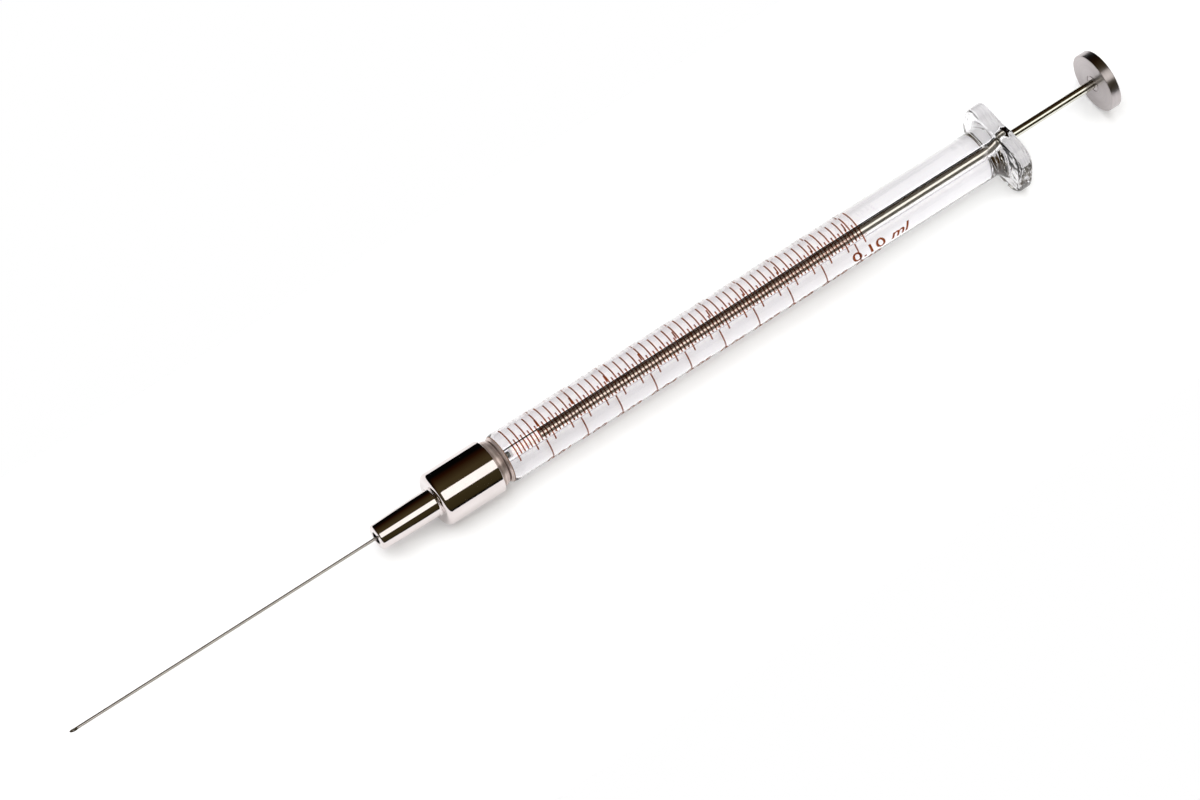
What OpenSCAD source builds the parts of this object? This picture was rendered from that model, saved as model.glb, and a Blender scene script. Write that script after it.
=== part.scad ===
// Gas-tight glass microsyringe with a removable, cemented needle.
//
// Stations along the syringe are measured from the scale's zero mark, where the plunger's tip
// stands at rest. They grow towards the plunger button. The syringe lies on its side along X:
// the needle points to -X and the two lobes of the finger flange reach out along Y. The origin
// is on the surface that the flange lies on, halfway between the needle's point and the button.

/* [Scale and bore] */
// Length of the graduated scale, which is also the plunger's full stroke
scale_length = 60; // [50:1:62]
// Bore of the glass: 0.10 ml over the length of the scale
bore_d = 1.457; // [1.40:0.001:1.60]

/* [Glass barrel] */
// Outside diameter of the tube
barrel_d = 7.6; // [7:0.1:8.4]
// Station of the flange's back face, where the plunger goes in
barrel_back = 87.2; // [84:0.1:92]
// Diameter of the ground spigot that is cemented into the terminal
spigot_d = 4.6; // [4.4:0.1:4.8]
// Length of the spigot
spigot_length = 1.85; // [1.5:0.05:2]
// Radius of the fire-polished mouth of the bore
mouth_r = 0.9; // [0.5:0.1:1.2]

/* [Finger flange] */
// Half the distance across the two lobes
lobe_reach = 6.95; // [6:0.05:8]
// Half the height of the outline before the waist is drawn in
lobe_height = 5.1; // [4.8:0.05:6]
// Squareness of the lobes: 2 is an ellipse
lobe_squareness = 4.8; // [2.2:0.1:6]
// Share of the height that the waist takes away
waist_depth = 0.12; // [0:0.01:0.2]
// Half the angle that the waist spans about the axis
waist_angle = 31; // [16:1:34]
// Share by which the upper corner at +Y is drawn in
left_corner_ease = 0.22; // [0:0.01:0.25]
// Share by which the upper corner at -Y is drawn in
right_corner_ease = 0.08; // [0:0.01:0.25]
// Thickness of the flange
flange_thickness = 2.4; // [2:0.05:3.2]
// Radius of the rounded edge on the flange's back
flange_edge_r = 0.3; // [0.2:0.05:0.95]
// Length over which the tube swells into the flange
flange_flow = 1.65; // [0.8:0.05:2]

/* [Terminal] */
// Diameter of the groove between the terminal's collar and the glass
groove_d = 6.0; // [5.6:0.1:6.4]
// Diameter of the collar
collar_d = 7.1; // [6.8:0.1:7.4]
// Diameter of the threaded stud, over the thread
stud_d = 5.9; // [5.6:0.05:6.2]
// Length of the threaded stud in front of the collar
stud_length = 5.25; // [4.8:0.05:5.4]
// Diameter of the hole through the stud
stud_hole_d = 2.2; // [2.1:0.05:2.5]
// Thickness of the cement between glass and metal
cement = 0.06; // [0.04:0.01:0.1]

/* [Hub nut] */
// Diameter of the nut's body
nut_d = 8.3; // [8:0.1:9]
// Length of the nut's body
nut_length = 9.5; // [8.8:0.1:10]
// Radius of the nut's front edge
nut_edge_r = 0.9; // [0.3:0.05:1]
// Length of the nose in front of the nut's body
nose_length = 9.7; // [8:0.1:12]
// Diameter of the nose at its root
nose_root_d = 4.3; // [4:0.05:4.6]
// Diameter of the nose near its tip
nose_tip_d = 3.88; // [3.6:0.02:4]
// Radial running clearance between the nut's thread and the stud
thread_clearance = 0.05; // [0.03:0.01:0.08]

/* [Needle] */
// Outside diameter of the needle tube
needle_d = 0.474; // [0.46:0.001:0.52]
// Bore of the needle tube
needle_bore_d = 0.127; // [0.11:0.001:0.15]
// Length of needle in front of the nose
needle_exposed = 50.5; // [43:0.1:51]
// Angle of the bevelled point
bevel_angle = 22; // [15:1:35]
// Turn of the bevel about the needle: 0 faces up
bevel_turn = 45; // [0:5:90]

/* [Plunger] */
// Diameter of the steel rod
rod_d = 1.40; // [1.34:0.01:1.41]
// Diameter of the plastic tip that sweeps the bore
tip_d = 1.43; // [1.40:0.005:1.435]
// Length of the tip
tip_length = 4.87; // [4:0.01:6]
// Diameter of the button
button_d = 9.25; // [8.5:0.05:9.8]
// Thickness of the button
button_thickness = 1.62; // [1.2:0.02:2.2]
// Length of rod between the flange and the button when the plunger is home
rod_exposed = 16.3; // [14:0.1:20]

/* [Hidden] */

$fn = 96;
arc_steps = 6;

// Stations of the front end, from the glass forwards
glass_shoulder = -1.45;
metal_shoulder = glass_shoulder - 2 * cement;
spigot_front = glass_shoulder - spigot_length;
groove_station = -2.0;
bead_back = -0.63;
collar_back = -2.9;
collar_front = -3.35;
stud_front = collar_front - stud_length;
nut_back = collar_front - 0.05;
nut_front = nut_back - nut_length;
nose_front = nut_front - nose_length;
needle_point = nose_front - needle_exposed;

// Needle set inside the nut: ferrule, seal and the steps that locate them
ferrule_back = -0.15;
seal_back = -0.5;
ferrule_step = spigot_front - 1.9;
head_back = stud_front - 0.5;
head_front = head_back - 1.1;
ferrule_neck_r = stud_hole_d / 2 - 0.05;
ferrule_nose_r = 0.53;
head_r = 1.7;
seal_spigot_r = tip_d / 2;
seat_clearance = 0.02;

// Stations and radii of the plunger end
button_front = barrel_back + rod_exposed;
button_back = button_front + button_thickness;
rod_back = button_back - 0.2;
tip_pin_r = 0.42;
tip_wall = 1.2;

// Hidden edges, reliefs and holes of the turned pieces
barrel_r = barrel_d / 2;
bore_r = bore_d / 2;
collar_r = collar_d / 2;
groove_r = groove_d / 2;
stud_r = stud_d / 2;
thread_relief = 0.35;
thread_relief_length = 0.6;
small_chamfer = 0.12;
nose_edge_r = 0.5;
nose_root_fillet = 0.35;
nose_hole_r = 0.93;
nose_hole_depth = 1.5;
needle_hole_r = needle_d / 2 + 0.07;
stake_groove = [1.15, 1.35, 0.12];

// How the tube swells into the flange: the share of the swell that is a hollow curve, the share
// at which the rounded front edge begins, the way between the two, and that edge's length
flow_share = 0.45;
edge_share = 0.8;
flange_swell_end = 0.1;
edge_length = 0.75;

// The flange's outline: the polar radius of a squared ellipse that is drawn in at the waist and,
// by less, at its two upper corners, each given by its angle and the angle over which it eases
outline_steps = 72;
function waist(angle) = 1 - waist_depth * exp(-pow(asin(abs(cos(angle))) / waist_angle, 2));
left_corner = [51, 37];
right_corner = [141, 27];
function eased(angle, corner, ease) = 1 - ease * exp(-pow((angle - corner[0]) / corner[1], 2));
function upper(angle) =
    let (a = angle > 270 ? angle - 360 : angle)
    eased(a, left_corner, left_corner_ease) * eased(a, right_corner, right_corner_ease);
function outline_r(angle) =
    upper(angle) * waist(angle) * pow(pow(abs(cos(angle)) / lobe_reach, lobe_squareness)
        + pow(abs(sin(angle)) / lobe_height, lobe_squareness), -1 / lobe_squareness);
outline_angles = [for (i = [0 : outline_steps - 1]) 360 * i / outline_steps];
axis_height = max([for (a = outline_angles) -outline_r(a) * sin(a)]);
centre_station = (button_back + needle_point) / 2;

// Points of an arc in a turned profile, where a point is [radius, station]
function arc(centre, r, from, to) =
    [for (i = [0 : arc_steps]) let (a = from + (to - from) * i / arc_steps)
        [centre[0] + r * cos(a), centre[1] + r * sin(a)]];

// Radius of the rounded bead that the terminal, the cement and the glass form together
function bead_r(station) =
    groove_r + (barrel_r - groove_r)
        * sqrt(1 - pow((station - bead_back) / (bead_back - groove_station), 2));
function bead(from, to) =
    [for (i = [0 : arc_steps]) let (s = from + (to - from) * i / arc_steps) [bead_r(s), s]];

// Radius of the collar's back as it falls into the groove
function collar_fall(i) =
    let (a = 90 * i / arc_steps)
    [groove_r + (collar_r - groove_r) * cos(a),
     collar_back + (groove_station - collar_back) * sin(a)];

// Puts a piece built along the syringe's stations into the lying frame
module lying() {
    translate([-centre_station, 0, axis_height]) children();
}

// Turns a profile of [radius, station] points about the syringe's axis
module turned(profile) {
    rotate([0, 90, 0]) rotate_extrude() polygon(profile);
}

// A round hole along the syringe's axis
module hole(r, from, to) {
    translate([from, 0, 0]) rotate([0, 90, 0]) cylinder(r = r, h = to - from);
}

// The outside of the glass as rings about the axis. A ring is [station, tube radius, share, inset]:
// share goes from 0, a circle of the tube's radius, to 1, the flange's outline, and inset draws
// that outline in towards the back.
module blown_glass() {
    front = barrel_back - flange_thickness;
    edge_front = front + flange_swell_end;
    rings = concat(
        [[spigot_front, spigot_d / 2 - small_chamfer, 0, 0],
         [spigot_front + small_chamfer, spigot_d / 2, 0, 0],
         [glass_shoulder, spigot_d / 2, 0, 0]],
        [for (p = bead(glass_shoulder, bead_back)) [p[1], p[0], 0, 0]],
        [for (i = [0 : arc_steps]) let (a = 90 * i / arc_steps)
            [front - flange_flow * (1 - sin(a)), barrel_r, flow_share * (1 - cos(a)), 0]],
        [for (i = [0 : arc_steps]) let (a = 90 * i / arc_steps)
            [edge_front + edge_length * (1 - cos(a)), barrel_r,
             edge_share + (1 - edge_share) * sin(a), 0]],
        [for (i = [0 : arc_steps]) let (a = 90 * i / arc_steps)
            [barrel_back - flange_edge_r * (1 - sin(a)), barrel_r, 1,
             flange_edge_r * (1 - cos(a))]]);
    n = outline_steps;
    last = (len(rings) - 1) * n;
    points = concat(
        [for (ring = rings, a = outline_angles)
            let (r = ring[1] + (outline_r(a) - ring[1]) * ring[2] - ring[3])
            [ring[0], r * cos(a), r * sin(a)]],
        [[spigot_front, 0, 0], [barrel_back, 0, 0]]);
    sides = [for (j = [0 : len(rings) - 2], i = [0 : n - 1], half = [0, 1])
        let (a = j * n + i, b = j * n + (i + 1) % n)
        half == 0 ? [a, b, b + n] : [a, b + n, a + n]];
    front_cap = [for (i = [0 : n - 1]) [(i + 1) % n, i, last + n]];
    back_cap = [for (i = [0 : n - 1]) [last + i, last + (i + 1) % n, last + n + 1]];
    polyhedron(points, concat(sides, front_cap, back_cap));
}

module barrel() color("lightcyan", 0.5) lying() {
    difference() {
        blown_glass();
        hole(bore_r, spigot_front - 1, barrel_back + 1);
        turned(concat(
            [[0, barrel_back - mouth_r]],
            arc([bore_r + mouth_r, barrel_back - mouth_r], mouth_r, 180, 90),
            [[bore_r + mouth_r, barrel_back + 1], [0, barrel_back + 1]]));
    }
}

module terminal() color("rosybrown") lying() {
    relief_r = stud_r - thread_relief;
    relief_front = collar_front - thread_relief_length;
    difference() {
        turned(concat(
            [[0, stud_front], [stud_r - thread_relief, stud_front],
             [stud_r, stud_front + thread_relief], [stud_r, relief_front - thread_relief],
             [relief_r, relief_front], [relief_r, collar_front],
             [collar_r - small_chamfer, collar_front],
             [collar_r, collar_front + small_chamfer]],
            [for (i = [0 : arc_steps]) collar_fall(i)],
            bead(groove_station + 0.02, metal_shoulder),
            [[0, metal_shoulder]]));
        hole(stud_hole_d / 2, stud_front - 1, metal_shoulder + 1);
        hole(spigot_d / 2 + cement, spigot_front, metal_shoulder + 1);
    }
}

module cement_ring() color("sienna") lying() {
    turned(concat(
        [[spigot_d / 2, spigot_front + small_chamfer],
         [spigot_d / 2 + cement, spigot_front + small_chamfer],
         [spigot_d / 2 + cement, metal_shoulder]],
        bead(metal_shoulder, glass_shoulder),
        [[spigot_d / 2, glass_shoulder]]));
}

module hub_nut() color("silver") lying() {
    root_r = nose_root_d / 2;
    tip_r = nose_tip_d / 2;
    nut_r = nut_d / 2;
    difference() {
        turned(concat(
            [[0, nose_front]],
            arc([tip_r - nose_edge_r, nose_front + nose_edge_r], nose_edge_r, 270, 360),
            [[(tip_r * 0.35 + root_r * 0.65), nose_front + nose_length * 0.4],
             [root_r, nose_front + nose_length * 0.8],
             [root_r, nut_front - nose_root_fillet]],
            arc([root_r + nose_root_fillet, nut_front - nose_root_fillet],
                nose_root_fillet, 180, 90),
            arc([nut_r - nut_edge_r, nut_front + nut_edge_r], nut_edge_r, 270, 360),
            [[nut_r, nut_back - small_chamfer], [nut_r - small_chamfer, nut_back],
             [0, nut_back]]));
        hole(stud_r + thread_clearance, head_back, nut_back + 1);
        hole(head_r + 0.1, head_front - seat_clearance, head_back + 1);
        hole(needle_hole_r, nose_front - 1, head_front + 1);
        hole(nose_hole_r, nose_front - 1, nose_front + nose_hole_depth);
    }
}

module needle() color("silver") lying() {
    difference() {
        hole(needle_d / 2, needle_point, ferrule_back);
        hole(needle_bore_d / 2, needle_point - 1, ferrule_back + 1);
        rotate([bevel_turn, 0, 0])
            translate([needle_point, 0, -needle_d / 2])
            rotate([0, -bevel_angle, 0])
            translate([-2, -1, 0]) cube([6, 2, 2]);
    }
}

module needle_ferrule() color("gray") lying() {
    difference() {
        turned([
            [0, head_front], [head_r - 0.3, head_front], [head_r, head_front + 0.3],
            [head_r, head_back - small_chamfer], [head_r - small_chamfer, head_back],
            [ferrule_neck_r, head_back], [ferrule_neck_r, ferrule_step],
            [ferrule_nose_r, ferrule_step], [ferrule_nose_r, ferrule_back - small_chamfer],
            [ferrule_nose_r - small_chamfer, ferrule_back], [0, ferrule_back]]);
        hole(needle_d / 2, head_front - 1, ferrule_back + 1);
    }
}

module needle_seal() color("white") lying() {
    turned([
        [ferrule_nose_r, ferrule_step], [ferrule_neck_r, ferrule_step],
        [ferrule_neck_r, spigot_front - seat_clearance],
        [seal_spigot_r, spigot_front - seat_clearance],
        [seal_spigot_r, seal_back - small_chamfer], [seal_spigot_r - small_chamfer, seal_back],
        [ferrule_nose_r, seal_back]]);
}

module plunger_rod() color("silver") lying() {
    turned([
        [0, tip_wall], [tip_pin_r, tip_wall], [tip_pin_r, tip_length], [rod_d / 2, tip_length],
        [rod_d / 2, rod_back - small_chamfer], [rod_d / 2 - small_chamfer, rod_back],
        [0, rod_back]]);
}

module plunger_tip() color("white") lying() {
    difference() {
        turned(concat(
            [[0, 0]],
            arc([tip_d / 2 - small_chamfer, small_chamfer], small_chamfer, 270, 360),
            [[tip_d / 2, tip_length], [0, tip_length]]));
        hole(tip_pin_r, tip_wall, tip_length + 1);
    }
}

module plunger_button() color("darkgray") lying() {
    r = button_d / 2;
    difference() {
        turned([
            [0, button_front], [r - small_chamfer, button_front],
            [r, button_front + small_chamfer], [r, button_back - small_chamfer],
            [r - small_chamfer, button_back], [0, button_back]]);
        hole(rod_d / 2, button_front - 1, button_back + 1);
        turned([
            [stake_groove[0], button_front - 1], [stake_groove[1], button_front - 1],
            [stake_groove[1], button_front + stake_groove[2]],
            [stake_groove[0], button_front + stake_groove[2]]]);
    }
}

barrel();
terminal();
cement_ring();
hub_nut();
needle();
needle_ferrule();
needle_seal();
plunger_rod();
plunger_tip();
plunger_button();
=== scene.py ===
"""Looks of a gas-tight glass microsyringe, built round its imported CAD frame.

Lengths of the pieces are in millimetres. A place along the syringe is a station: its distance from
the scale's zero mark, growing towards the plunger button. Angles are in degrees, except where a
docstring says radians. Materials and lights measure in metres.
"""

import logging
import math
from dataclasses import dataclass, field
from enum import Enum
from typing import Any, Iterable, Optional, Sequence, Union

import bmesh
import bpy
from mathutils import Matrix, Vector


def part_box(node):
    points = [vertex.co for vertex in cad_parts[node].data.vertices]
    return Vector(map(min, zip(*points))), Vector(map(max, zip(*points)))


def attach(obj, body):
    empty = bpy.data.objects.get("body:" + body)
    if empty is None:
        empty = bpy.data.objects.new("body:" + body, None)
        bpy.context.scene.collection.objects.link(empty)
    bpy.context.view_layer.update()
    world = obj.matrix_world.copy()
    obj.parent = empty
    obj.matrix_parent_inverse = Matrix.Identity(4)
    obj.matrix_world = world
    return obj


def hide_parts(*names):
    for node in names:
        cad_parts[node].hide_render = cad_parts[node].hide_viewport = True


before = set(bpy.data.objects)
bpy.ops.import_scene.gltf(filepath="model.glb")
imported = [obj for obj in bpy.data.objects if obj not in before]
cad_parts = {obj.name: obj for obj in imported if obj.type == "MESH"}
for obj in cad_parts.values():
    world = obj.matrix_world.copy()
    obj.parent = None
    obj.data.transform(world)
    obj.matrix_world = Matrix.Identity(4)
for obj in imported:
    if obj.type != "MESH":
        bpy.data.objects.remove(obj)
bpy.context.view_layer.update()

MM = 0.001

Rgb = tuple[float, float, float]
Socket = bpy.types.NodeSocket

log = logging.getLogger("microsyringe")


# ---------------------------------------------------------------- the syringe's own measure


@dataclass(frozen=True)
class SyringeAxis:
    """The syringe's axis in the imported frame.

    Attributes:
        zero_x: Where the scale's zero mark is along X, in metres.
        height: The axis's height over the frame's z = 0, in metres.
    """

    zero_x: float
    height: float

    def place(self, station: float, radius: float = 0.0, angle: float = 0.0) -> Vector:
        """Turns a station, radius and angle into a point of the frame.

        Args:
            station: Distance from the zero mark.
            radius: Distance from the axis.
            angle: Angle about the axis from +Y towards +Z, in radians.

        Returns:
            The point, in metres.
        """
        across, up = radius * MM * math.cos(angle), radius * MM * math.sin(angle)
        return Vector((self.zero_x + station * MM, across, self.height + up))

    def ring(self, station: float, radius: float, facets: int) -> list[Vector]:
        """Makes a round ring of points about the axis."""
        return [self.place(station, radius, 2 * math.pi * i / facets) for i in range(facets)]

    def span(self, node: str) -> tuple[float, float]:
        """Finds the stations of a CAD node's front and back."""
        low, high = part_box(node)
        return (low.x - self.zero_x) / MM, (high.x - self.zero_x) / MM

    def radius(self, node: str) -> float:
        """Finds the largest radius of a turned CAD node."""
        low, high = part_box(node)
        return (high.y - low.y) / 2 / MM


def find_axis() -> SyringeAxis:
    """Reads the axis from the plunger's nodes, whose tip stands at the zero mark."""
    low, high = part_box("plunger_rod")
    return SyringeAxis(zero_x=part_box("plunger_tip")[0].x, height=(low.z + high.z) / 2)


AXIS = find_axis()

# The direction that the scale faces: from the axis, as an angle from +Y towards +Z
SCALE_FACES = 113.4


class Body(Enum):
    """The moving bodies that pieces ride on."""

    BARREL = "barrel_body"
    PLUNGER = "plunger_body"
    NEEDLE = "needle_body"
    NUT = "nut_body"


# ---------------------------------------------------------------- turning on the lathe


@dataclass(frozen=True)
class Corner:
    """A corner of a turned profile.

    Attributes:
        at: Its station.
        r: Its radius.
        ease: The radius that rounds it, or 0 for a sharp corner.
    """

    at: float
    r: float
    ease: float = 0.0


def profile(*corners: Union[Corner, tuple[float, ...]]) -> list[Corner]:
    """Lists a profile's corners, some of them given as station, radius and ease."""
    return [c if isinstance(c, Corner) else Corner(*c) for c in corners]


# How a corner is rounded: its facets, the most of a side it may take, and the short lead that
# follows on both sides, as a share of the radius, a share of the reach and a length
EASE_STEPS = 7
EASE_ROOM = 0.49
EASE_LEAD = 0.22
REACH_LEAD = 0.02
LENGTH_LEAD = 0.02
ON_THE_AXIS = 1e-6


def eased(corners: Sequence[Corner], closed: bool) -> list[tuple[float, float]]:
    """Rounds the corners of a profile.

    Each rounded corner also gets a point a little way along both of its sides, which keeps the
    shading of the flat faces beside it flat.

    Args:
        corners: The profile's corners in order.
        closed: Whether the last corner joins the first.

    Returns:
        The profile as (station, radius) points.
    """
    points: list[tuple[float, float]] = []
    count = len(corners)
    for i, corner in enumerate(corners):
        here = Vector((corner.at, corner.r))
        if corner.ease <= 0 or (not closed and i in (0, count - 1)):
            points.append((here.x, here.y))
            continue
        before, after = corners[i - 1], corners[(i + 1) % count]
        back = Vector((before.at, before.r)) - here
        ahead = Vector((after.at, after.r)) - here
        opening = back.angle(ahead)
        reach = min(
            corner.ease / math.tan(opening / 2), back.length * EASE_ROOM, ahead.length * EASE_ROOM
        )
        radius = reach * math.tan(opening / 2)
        back.normalize()
        ahead.normalize()
        centre = here + (back + ahead).normalized() * radius / math.sin(opening / 2)
        start, end = here + back * reach, here + ahead * reach
        first = math.atan2(start.y - centre.y, start.x - centre.x)
        sweep = math.atan2(end.y - centre.y, end.x - centre.x) - first
        sweep = (sweep + math.pi) % (2 * math.pi) - math.pi
        lead = min(EASE_LEAD * radius, reach * REACH_LEAD + LENGTH_LEAD)
        entry, leave = start + back * lead, end + ahead * lead
        points.append((entry.x, entry.y))
        for step in range(EASE_STEPS + 1):
            angle = first + sweep * step / EASE_STEPS
            across, up = radius * math.cos(angle), radius * math.sin(angle)
            points.append((centre.x + across, centre.y + up))
        points.append((leave.x, leave.y))
    return points


def swept_rings(rings: Sequence[Sequence[Vector]], closed: bool) -> bmesh.types.BMesh:
    """Skins a row of rings, where a ring of one point is a pole.

    Args:
        rings: The rings in order, each with the same number of points or just one.
        closed: Whether the last ring joins the first.

    Returns:
        The closed surface, with its faces pointing outwards.
    """
    bm = bmesh.new()
    made = [[bm.verts.new(point) for point in ring] for ring in rings]
    pairs = list(zip(made, made[1:]))
    if closed:
        pairs.append((made[-1], made[0]))
    for one, two in pairs:
        count = max(len(one), len(two))
        for i in range(count):
            j = (i + 1) % count
            if len(one) == 1:
                bm.faces.new((one[0], two[i], two[j]))
            elif len(two) == 1:
                bm.faces.new((one[i], two[0], one[j]))
            else:
                bm.faces.new((one[i], two[i], two[j], one[j]))
    bmesh.ops.recalc_face_normals(bm, faces=bm.faces)
    return bm


def as_object(bm: bmesh.types.BMesh, name: str, crease: float = 28.0) -> bpy.types.Object:
    """Makes an object of a mesh, shaded smooth except over its creases.

    Args:
        bm: The mesh, which is used up.
        name: The object's name.
        crease: The angle over which an edge stays sharp.

    Returns:
        The object, linked to the scene.
    """
    mesh = bpy.data.meshes.new(name)
    bm.to_mesh(mesh)
    bm.free()
    mesh.shade_smooth()
    mesh.set_sharp_from_angle(angle=math.radians(crease))
    return linked(name, mesh)


def linked(name: str, data: Any) -> bpy.types.Object:
    """Makes an object of data and links it to the scene."""
    obj = bpy.data.objects.new(name, data)
    bpy.context.scene.collection.objects.link(obj)
    return obj


# ---------------------------------------------------------------- finishes


class Wiring:
    """A node tree while it is wired up."""

    def __init__(self, tree: bpy.types.NodeTree) -> None:
        """Takes a tree to wire up."""
        self.tree = tree

    def feed(self, node: bpy.types.Node, inputs: dict[Any, Any]) -> None:
        """Fills a node's inputs.

        Args:
            node: The node.
            inputs: By name or number, a socket to link or a constant to set.
        """
        for key, value in inputs.items():
            if isinstance(value, Socket):
                self.tree.links.new(value, node.inputs[key])
            else:
                node.inputs[key].default_value = value

    def node(
        self, kind: str, inputs: Optional[dict[Any, Any]] = None, **settings: Any
    ) -> bpy.types.Node:
        """Adds a node.

        Args:
            kind: The node's type.
            inputs: What fills its inputs.
            **settings: Properties to set on it.

        Returns:
            The node.
        """
        made = self.tree.nodes.new(kind)
        for key, value in settings.items():
            setattr(made, key, value)
        self.feed(made, inputs or {})
        return made

    def sum(self, operation: str, *terms: Any) -> Socket:
        """Does arithmetic with sockets and constants."""
        return self.node("ShaderNodeMath", dict(enumerate(terms)), operation=operation).outputs[0]

    def ramp(self, source: Socket, stops: Sequence[tuple[float, Rgb]]) -> Socket:
        """Colours a value.

        Args:
            source: A value from 0 to 1.
            stops: The places and colours to blend between, in order.

        Returns:
            The colour.
        """
        made = self.node("ShaderNodeValToRGB", {"Fac": source})
        elements = made.color_ramp.elements
        for element, (position, colour) in zip(elements, (stops[0], stops[-1])):
            element.position, element.color = position, (*colour, 1)
        for position, colour in stops[1:-1]:
            elements.new(position).color = (*colour, 1)
        return made.outputs["Color"]


@dataclass(frozen=True)
class Grain:
    """A noise that a surface follows.

    Attributes:
        scale: Its scale per metre. Three numbers are along X, Y and Z. Two make it the same all
            round the axis, as a lathe's tool does, and are along the axis and with the radius.
        detail: The number of finer layers.
        roughness: How strong each finer layer is.
    """

    scale: tuple[float, ...]
    detail: float = 3.0
    roughness: float = 0.55


# The middle of a noise's range, which is spread over two values or two shades
SPREAD = (0.3, 0.7)
SHADES = (0.32, 0.68)


class Finish(Wiring):
    """A material's node tree while it is wired up.

    Attributes:
        material: The material.
        shader: Its Principled BSDF node.
    """

    def __init__(self, name: str) -> None:
        """Starts a material."""
        self.material = bpy.data.materials.new(name)
        self.material.use_nodes = True
        super().__init__(self.material.node_tree)
        self.shader = self.tree.nodes["Principled BSDF"]

    def about_axis(self) -> Socket:
        """Moves Object coordinates so that the syringe's axis is at their origin."""
        place = self.node("ShaderNodeTexCoord").outputs["Object"]
        away = (-AXIS.zero_x, 0, -AXIS.height)
        return self.node("ShaderNodeMapping", {"Location": away, "Vector": place}).outputs[0]

    def split_about_axis(self) -> Any:
        """Gives the coordinates about the axis one by one, as the outputs X, Y and Z."""
        return self.node("ShaderNodeSeparateXYZ", {0: self.about_axis()}).outputs

    def beyond(self, station: float, blend: float) -> Socket:
        """Tells the part of the surface that lies behind a station.

        Args:
            station: Where the part starts.
            blend: The length over which the value rises from 0 to 1.

        Returns:
            The value.
        """
        ends = {"From Min": station * MM, "From Max": (station + blend) * MM}
        inputs = {**ends, "Value": self.split_about_axis()["X"]}
        return self.node("ShaderNodeMapRange", inputs).outputs["Result"]

    def lathe_lay(self, along: float, across: float) -> Socket:
        """Gives coordinates that run with a lathe's tool: the same all round the axis.

        Args:
            along: How fast the pattern changes along the axis, per metre.
            across: How fast it changes with the radius, per metre.

        Returns:
            The coordinates.
        """
        split = self.split_about_axis()
        squares = [self.sum("POWER", self.sum("ABSOLUTE", split[axis]), 2) for axis in "YZ"]
        radius = self.sum("SQRT", self.sum("ADD", *squares))
        inputs = {
            "X": self.sum("MULTIPLY", split["X"], along),
            "Y": self.sum("MULTIPLY", radius, across),
        }
        return self.node("ShaderNodeCombineXYZ", inputs).outputs[0]

    def across_lay(self) -> Socket:
        """Gives the direction in the surface that runs across a lathe's tool lines."""
        kind, cross = "ShaderNodeVectorMath", "CROSS_PRODUCT"
        lines = self.node(kind, {0: (1, 0, 0), 1: self.about_axis()}, operation=cross).outputs[0]
        normal = self.node("ShaderNodeNewGeometry").outputs["Normal"]
        return self.node(kind, {0: normal, 1: lines}, operation=cross).outputs[0]

    def noise(self, grain: Grain) -> Socket:
        """Adds a noise, from 0 to 1."""
        if len(grain.scale) == 2:
            place = self.lathe_lay(*grain.scale)
        else:
            inputs = {"Scale": grain.scale, "Vector": self.about_axis()}
            place = self.node("ShaderNodeMapping", inputs).outputs[0]
        inputs = {
            "Scale": 1.0,
            "Detail": grain.detail,
            "Roughness": grain.roughness,
            "Vector": place,
        }
        return self.node("ShaderNodeTexNoise", inputs).outputs["Fac"]

    def between(self, source: Socket, low: float, high: float) -> Socket:
        """Spreads the middle range of a value from 0 to 1 over two values."""
        ends = {"From Min": SPREAD[0], "From Max": SPREAD[1], "To Min": low, "To Max": high}
        return self.node("ShaderNodeMapRange", {**ends, "Value": source}).outputs["Result"]

    def tint(self, source: Socket, low: Rgb, high: Rgb) -> None:
        """Colours the surface between two shades, by a value from 0 to 1."""
        shade = self.ramp(source, ((SHADES[0], low), (SHADES[1], high)))
        self.feed(self.shader, {"Base Color": shade})

    def let_through(self, share: Any, stain: Any) -> None:
        """Lets light straight through the surface.

        Args:
            share: The share that goes through, a socket or a constant.
            stain: The colour that the light takes, a socket or a constant.
        """
        clear = self.node("ShaderNodeBsdfTransparent", {"Color": stain}).outputs["BSDF"]
        inputs = {"Fac": share, 1: self.shader.outputs["BSDF"], 2: clear}
        mix = self.node("ShaderNodeMixShader", inputs).outputs["Shader"]
        self.feed(self.tree.nodes["Material Output"], {"Surface": mix})

    def pale_shadow(self, facing: float, grazing: float) -> None:
        """Lets light through into the shadow, as clear glass does.

        Args:
            facing: The share let through by a surface that faces the light.
            grazing: The share let through by a surface that lies along the light.
        """
        weight = self.node("ShaderNodeLayerWeight", {"Blend": 0.5}).outputs["Facing"]
        in_shadow = self.node("ShaderNodeLightPath").outputs["Is Shadow Ray"]
        self.let_through(in_shadow, self.between(weight, facing, grazing))

    def relief(self, layers: Iterable[tuple[Socket, float]]) -> None:
        """Raises the surface by height patterns.

        Args:
            layers: For each pattern its height from 0 to 1 and its depth in metres.
        """
        below: dict[str, Socket] = {}
        for height, depth in layers:
            inputs = {"Strength": 1.0, "Distance": depth, "Height": height, **below}
            below = {"Normal": self.node("ShaderNodeBump", inputs).outputs["Normal"]}
        self.feed(self.shader, below)


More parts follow.
